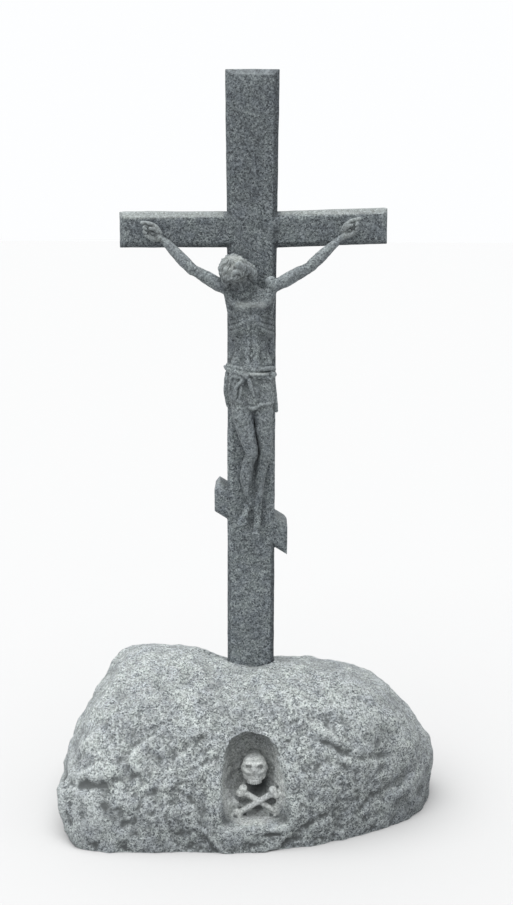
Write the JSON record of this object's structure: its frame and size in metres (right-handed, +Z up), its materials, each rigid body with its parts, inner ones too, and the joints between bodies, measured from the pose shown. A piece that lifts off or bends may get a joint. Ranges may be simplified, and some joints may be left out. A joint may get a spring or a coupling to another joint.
{
  "type": "grave cross",
  "caption": "Chamfered granite grave cross with a slanted foot bar and a carved hanging figure, let into a rough rock whose arched niche holds a skull and crossed bones.",
  "frame": {"origin": "on the ground, in the rock's flat underside, under the axis of the cross", "axes": "+Z up along the cross, +X to the right as seen from the front, -Y towards the viewer"},
  "size_m": [0.9338, 0.5931, 1.7851],
  "materials": {
    "cross_granite": "dressed, weathered matt",
    "rock_granite": "rough split, weathered"
  },
  "bodies": {
    "root": {"crucifix": "cross_granite", "boulder_plinth": "rock_granite"}
  },
  "joints": []
}
